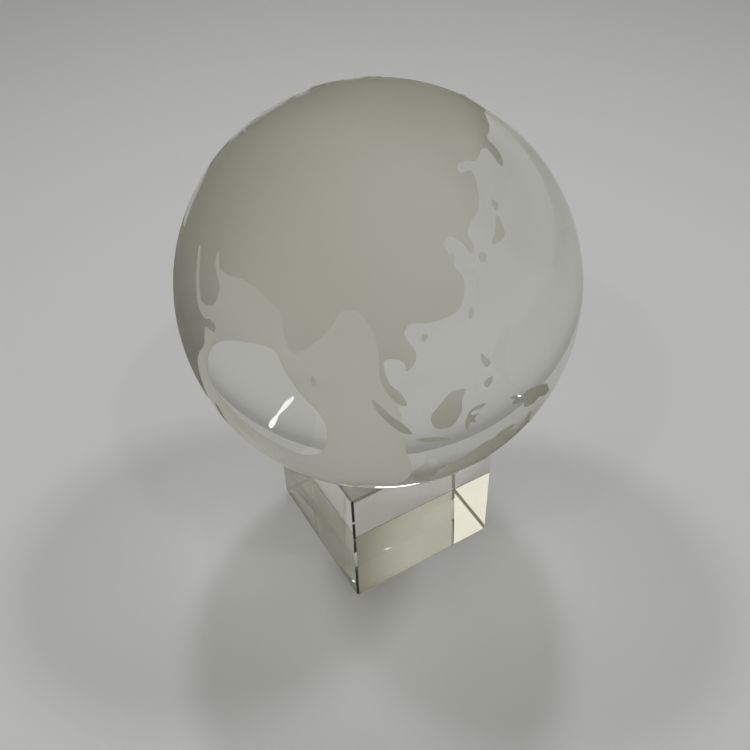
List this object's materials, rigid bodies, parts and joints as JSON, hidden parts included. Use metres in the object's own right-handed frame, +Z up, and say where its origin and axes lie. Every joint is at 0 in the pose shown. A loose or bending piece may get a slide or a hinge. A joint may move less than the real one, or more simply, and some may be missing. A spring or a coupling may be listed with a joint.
{
  "type": "crystal ball",
  "caption": "Solid clear crystal ball with a frosted world map, resting loosely in the dished top of a clear crystal cube with bevelled edges.",
  "frame": {"origin": "middle of the cube stand's bottom face, on the table, below the ball's centre", "axes": "+Z up through the ball's centre; +X and +Y along the cube's square side faces"},
  "size_m": [0.1099, 0.11, 0.1574],
  "materials": {
    "ball_crystal": "polished clear optical crystal with sandblasted continents",
    "base_crystal": "polished clear optical crystal with ground bevels"
  },
  "bodies": {
    "stand": {"cube_base": "base_crystal"},
    "ball": {"crystal_ball": "ball_crystal"}
  },
  "joints": [
    {"name": "ball_lift", "type": "slide", "parent": "stand", "child": "ball", "axis": [0, 0, 1], "range_m": [0, 0.08]}
  ]
}
